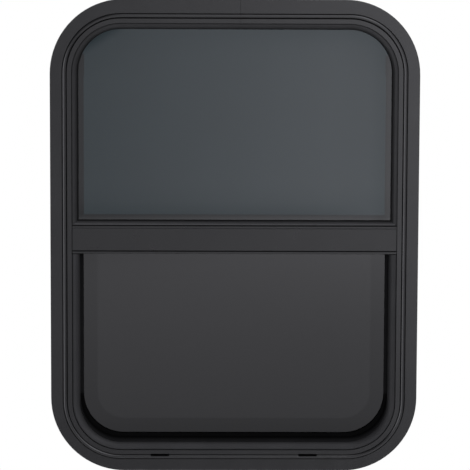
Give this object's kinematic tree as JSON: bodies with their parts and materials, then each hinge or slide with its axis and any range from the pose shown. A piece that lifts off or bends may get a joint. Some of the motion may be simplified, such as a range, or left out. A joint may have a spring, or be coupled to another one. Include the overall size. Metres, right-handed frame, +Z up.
{
  "type": "caravan window",
  "caption": "Rounded caravan window with a black flanged frame, a fixed tinted upper glass, a mid rail, a recessed sliding lower glass, an insect screen and an inner clamp ring.",
  "frame": {"origin": "centre of the window on the back face of the outer flange, which bears on the vehicle's wall", "axes": "+Z up, the outside of the window faces -Y, the spigot goes through the wall towards +Y, X across"},
  "size_m": [0.5, 0.0406, 0.6432],
  "materials": {
    "frame_coating": "satin black powder coat",
    "bare_aluminium": "mill",
    "upper_tint": "dark blue-grey tint",
    "lower_tint": "dark grey tint",
    "gasket_rubber": "matt",
    "edge_seal_rubber": "matt black",
    "glazing_tape": "matt foam",
    "trim_plastic": "satin",
    "flocked_rubber": "flocked",
    "latch_plastic": "fine grain",
    "screen_coating": "satin black",
    "screen_weave": "woven glass fibre"
  },
  "bodies": {
    "root": {"outer_frame": "frame_coating", "frame_joiner": "bare_aluminium", "mid_rail": "frame_coating", "upper_glass": "upper_tint", "upper_glass_gasket": "gasket_rubber", "rail_glass_gasket": "gasket_rubber", "upper_edge_seal": "edge_seal_rubber", "upper_glazing_tape": "glazing_tape", "recess_trim": "trim_plastic", "sill_ramp": "trim_plastic", "sill_channel": "flocked_rubber", "run_channel_left": "flocked_rubber", "run_channel_right": "flocked_rubber", "sliding_glass": "lower_tint", "rail_wiper": "trim_plastic", "sash_channel": "frame_coating", "sash_pull": "frame_coating", "sash_latch_left": "latch_plastic", "sash_latch_right": "latch_plastic", "interlock_seal": "flocked_rubber", "screen_frame": "screen_coating", "screen_spline": "gasket_rubber", "screen_mesh": "screen_weave", "screen_tab_left": "latch_plastic", "screen_tab_right": "latch_plastic", "clamp_ring": "frame_coating"}
  },
  "joints": []
}
